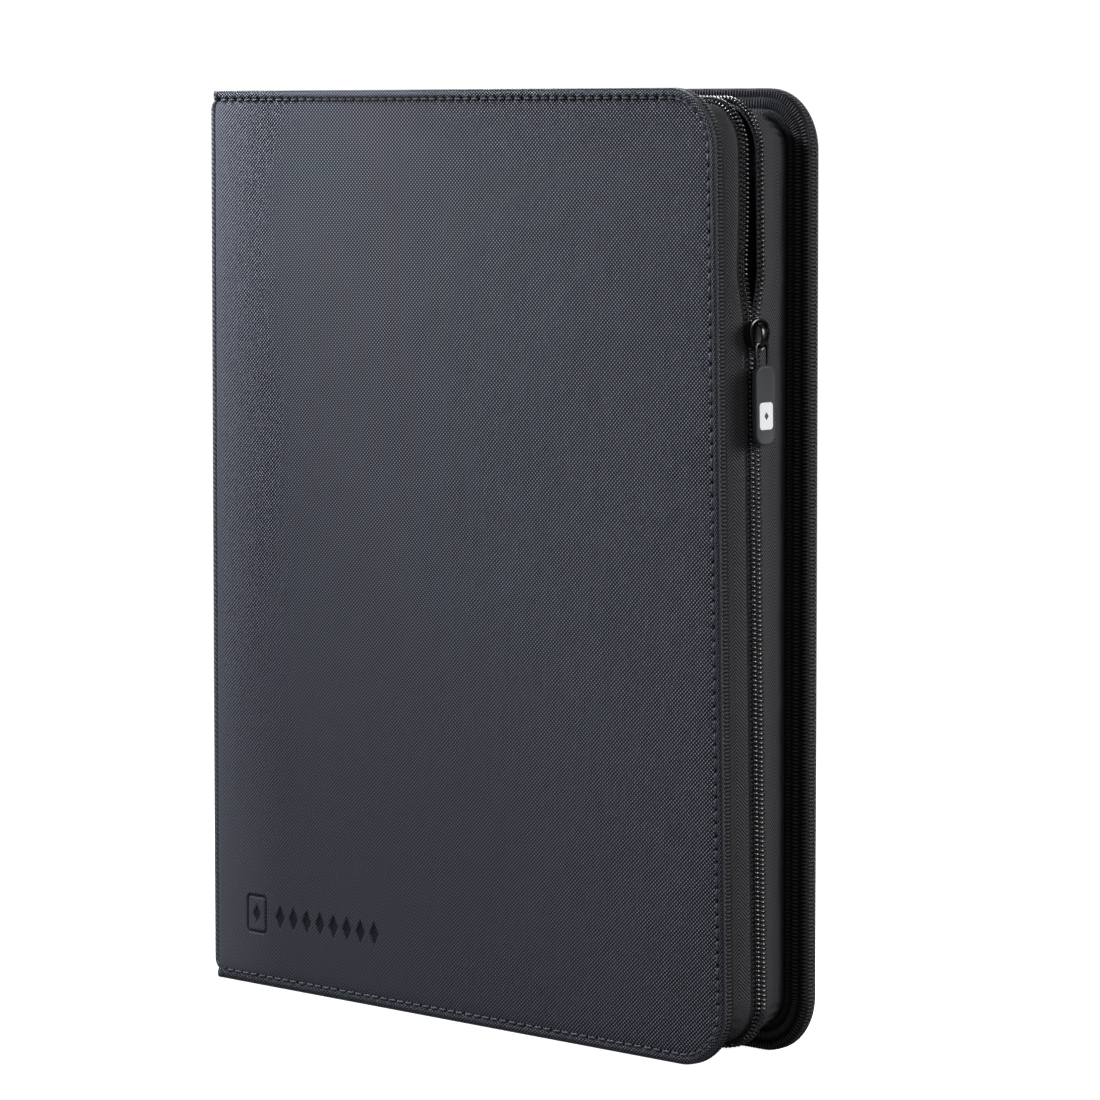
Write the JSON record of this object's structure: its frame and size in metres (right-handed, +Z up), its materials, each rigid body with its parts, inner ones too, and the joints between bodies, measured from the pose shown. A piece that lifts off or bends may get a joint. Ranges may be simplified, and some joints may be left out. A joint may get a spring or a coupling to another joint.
{
  "type": "zip-up trading card binder",
  "caption": "Upright zip-up trading card binder in black woven fabric, with hinged stiff covers, side-loading pocket leaves and a zip round three sides.",
  "frame": {"origin": "centre of the footprint of the standing binder, on the surface it stands on", "axes": "+Z up along the spine, the spine at -X and the fore-edge zip at +X, the front cover facing -Y"},
  "size_m": [0.2734, 0.0511, 0.345],
  "materials": {
    "coated_fabric": "coated woven polyester, satin",
    "grey_board": "matt pressed board",
    "lining_cloth": "matt lining",
    "ribbed_ribbon": "ribbed weave",
    "zip_tape": "herringbone weave",
    "coil_nylon": "semi-gloss",
    "black_metal": "polished black plate",
    "soft_rubber": "matt",
    "white_print": "printed",
    "binding_plastic": "matt",
    "leaf_film": "clear film over black backing"
  },
  "bodies": {
    "spine": {"spine_fabric": "coated_fabric", "spine_board": "grey_board", "spine_lining": "lining_cloth", "front_hinge_fabric": "coated_fabric", "back_hinge_fabric": "coated_fabric", "leaf_binding_strip": "binding_plastic", "zip_bottom_stop": "black_metal"},
    "front_cover": {"front_cover_fabric": "coated_fabric", "front_cover_board": "grey_board", "front_cover_lining": "lining_cloth", "front_edge_ribbon": "ribbed_ribbon", "front_zip_tape": "zip_tape", "front_zip_coil": "coil_nylon", "front_zip_top_stop": "black_metal"},
    "back_cover": {"back_cover_fabric": "coated_fabric", "back_cover_board": "grey_board", "back_cover_lining": "lining_cloth", "back_edge_ribbon": "ribbed_ribbon", "back_zip_tape": "zip_tape", "back_zip_coil": "coil_nylon", "back_zip_top_stop": "black_metal"},
    "zip_slider": {"zip_slider": "black_metal"},
    "zip_pull": {"zip_pull_link": "black_metal", "zip_pull_tab": "soft_rubber", "zip_pull_badge": "white_print"},
    "leaf_01": {"leaf_01": "leaf_film"},
    "leaf_02": {"leaf_02": "leaf_film"},
    "leaf_03": {"leaf_03": "leaf_film"},
    "leaf_04": {"leaf_04": "leaf_film"},
    "leaf_05": {"leaf_05": "leaf_film"},
    "leaf_06": {"leaf_06": "leaf_film"},
    "leaf_07": {"leaf_07": "leaf_film"},
    "leaf_08": {"leaf_08": "leaf_film"},
    "leaf_09": {"leaf_09": "leaf_film"},
    "leaf_10": {"leaf_10": "leaf_film"},
    "leaf_11": {"leaf_11": "leaf_film"},
    "leaf_12": {"leaf_12": "leaf_film"},
    "leaf_13": {"leaf_13": "leaf_film"},
    "leaf_14": {"leaf_14": "leaf_film"},
    "leaf_15": {"leaf_15": "leaf_film"},
    "leaf_16": {"leaf_16": "leaf_film"},
    "leaf_17": {"leaf_17": "leaf_film"},
    "leaf_18": {"leaf_18": "leaf_film"},
    "leaf_19": {"leaf_19": "leaf_film"},
    "leaf_20": {"leaf_20": "leaf_film"}
  },
  "joints": [
    {"name": "front_cover_hinge", "type": "hinge", "parent": "spine", "child": "front_cover", "pos_m": [-0.1343, -0.01645, 0.1725], "axis": [0, 0, -1], "range_deg": [0, 90]},
    {"name": "back_cover_hinge", "type": "hinge", "parent": "spine", "child": "back_cover", "pos_m": [-0.1343, 0.02315, 0.1725], "axis": [0, 0, 1], "range_deg": [0, 90]},
    {"name": "zip_slide", "type": "slide", "parent": "back_cover", "child": "zip_slider", "axis": [0, -0.02, 0.9998], "range_m": [-0.2165, 0.052]},
    {"name": "zip_pull_swing", "type": "hinge", "parent": "zip_slider", "child": "zip_pull", "pos_m": [0.134, -0.00105, 0.2557], "axis": [0, -0.9998, -0.02], "range_deg": [0, 160]},
    {"name": "leaf_01_turn", "type": "hinge", "parent": "spine", "child": "leaf_01", "pos_m": [-0.1292, -0.01184, 0.1725], "axis": [0, 0, -1], "range_deg": [0, 88.2]},
    {"name": "leaf_02_turn", "type": "hinge", "parent": "spine", "child": "leaf_02", "pos_m": [-0.1285, -0.01025, 0.1725], "axis": [0, 0, -1], "range_deg": [0, 87.3]},
    {"name": "leaf_03_turn", "type": "hinge", "parent": "spine", "child": "leaf_03", "pos_m": [-0.1278, -0.00864, 0.1725], "axis": [0, 0, -1], "range_deg": [0, 86.4]},
    {"name": "leaf_04_turn", "type": "hinge", "parent": "spine", "child": "leaf_04", "pos_m": [-0.1271, -0.00705, 0.1725], "axis": [0, 0, -1], "range_deg": [0, 85.5]},
    {"name": "leaf_05_turn", "type": "hinge", "parent": "spine", "child": "leaf_05", "pos_m": [-0.1264, -0.00545, 0.1725], "axis": [0, 0, -1], "range_deg": [0, 84.6]},
    {"name": "leaf_06_turn", "type": "hinge", "parent": "spine", "child": "leaf_06", "pos_m": [-0.1257, -0.00384, 0.1725], "axis": [0, 0, -1], "range_deg": [0, 83.8]},
    {"name": "leaf_07_turn", "type": "hinge", "parent": "spine", "child": "leaf_07", "pos_m": [-0.125, -0.00225, 0.1725], "axis": [0, 0, -1], "range_deg": [0, 82.8]},
    {"name": "leaf_08_turn", "type": "hinge", "parent": "spine", "child": "leaf_08", "pos_m": [-0.1243, -0.00064, 0.1725], "axis": [0, 0, -1], "range_deg": [0, 82]},
    {"name": "leaf_09_turn", "type": "hinge", "parent": "spine", "child": "leaf_09", "pos_m": [-0.1236, 0.00096, 0.1725], "axis": [0, 0, -1], "range_deg": [0, 81]},
    {"name": "leaf_10_turn", "type": "hinge", "parent": "spine", "child": "leaf_10", "pos_m": [-0.1229, 0.00255, 0.1725], "axis": [0, 0, -1], "range_deg": [0, 80.1]},
    {"name": "leaf_11_turn", "type": "hinge", "parent": "spine", "child": "leaf_11", "pos_m": [-0.1229, 0.00415, 0.1725], "axis": [0, 0, 1], "range_deg": [0, 80.1]},
    {"name": "leaf_12_turn", "type": "hinge", "parent": "spine", "child": "leaf_12", "pos_m": [-0.1236, 0.00575, 0.1725], "axis": [0, 0, 1], "range_deg": [0, 81]},
    {"name": "leaf_13_turn", "type": "hinge", "parent": "spine", "child": "leaf_13", "pos_m": [-0.1243, 0.00736, 0.1725], "axis": [0, 0, 1], "range_deg": [0, 82]},
    {"name": "leaf_14_turn", "type": "hinge", "parent": "spine", "child": "leaf_14", "pos_m": [-0.125, 0.00895, 0.1725], "axis": [0, 0, 1], "range_deg": [0, 82.8]},
    {"name": "leaf_15_turn", "type": "hinge", "parent": "spine", "child": "leaf_15", "pos_m": [-0.1257, 0.01056, 0.1725], "axis": [0, 0, 1], "range_deg": [0, 83.8]},
    {"name": "leaf_16_turn", "type": "hinge", "parent": "spine", "child": "leaf_16", "pos_m": [-0.1264, 0.01215, 0.1725], "axis": [0, 0, 1], "range_deg": [0, 84.6]},
    {"name": "leaf_17_turn", "type": "hinge", "parent": "spine", "child": "leaf_17", "pos_m": [-0.1271, 0.01375, 0.1725], "axis": [0, 0, 1], "range_deg": [0, 85.5]},
    {"name": "leaf_18_turn", "type": "hinge", "parent": "spine", "child": "leaf_18", "pos_m": [-0.1278, 0.01536, 0.1725], "axis": [0, 0, 1], "range_deg": [0, 86.4]},
    {"name": "leaf_19_turn", "type": "hinge", "parent": "spine", "child": "leaf_19", "pos_m": [-0.1285, 0.01696, 0.1725], "axis": [0, 0, 1], "range_deg": [0, 87.3]},
    {"name": "leaf_20_turn", "type": "hinge", "parent": "spine", "child": "leaf_20", "pos_m": [-0.1292, 0.01855, 0.1725], "axis": [0, 0, 1], "range_deg": [0, 88.2]}
  ],
  "couplings": [
    {"joint": "leaf_01_turn", "follows": "front_cover_hinge", "ratio": 0.98},
    {"joint": "leaf_02_turn", "follows": "front_cover_hinge", "ratio": 0.97},
    {"joint": "leaf_03_turn", "follows": "front_cover_hinge", "ratio": 0.96},
    {"joint": "leaf_04_turn", "follows": "front_cover_hinge", "ratio": 0.95},
    {"joint": "leaf_05_turn", "follows": "front_cover_hinge", "ratio": 0.94},
    {"joint": "leaf_06_turn", "follows": "front_cover_hinge", "ratio": 0.93},
    {"joint": "leaf_07_turn", "follows": "front_cover_hinge", "ratio": 0.92},
    {"joint": "leaf_08_turn", "follows": "front_cover_hinge", "ratio": 0.91},
    {"joint": "leaf_09_turn", "follows": "front_cover_hinge", "ratio": 0.9},
    {"joint": "leaf_10_turn", "follows": "front_cover_hinge", "ratio": 0.89},
    {"joint": "leaf_11_turn", "follows": "back_cover_hinge", "ratio": 0.89},
    {"joint": "leaf_12_turn", "follows": "back_cover_hinge", "ratio": 0.9},
    {"joint": "leaf_13_turn", "follows": "back_cover_hinge", "ratio": 0.91},
    {"joint": "leaf_14_turn", "follows": "back_cover_hinge", "ratio": 0.92},
    {"joint": "leaf_15_turn", "follows": "back_cover_hinge", "ratio": 0.93},
    {"joint": "leaf_16_turn", "follows": "back_cover_hinge", "ratio": 0.94},
    {"joint": "leaf_17_turn", "follows": "back_cover_hinge", "ratio": 0.95},
    {"joint": "leaf_18_turn", "follows": "back_cover_hinge", "ratio": 0.96},
    {"joint": "leaf_19_turn", "follows": "back_cover_hinge", "ratio": 0.97},
    {"joint": "leaf_20_turn", "follows": "back_cover_hinge", "ratio": 0.98}
  ]
}
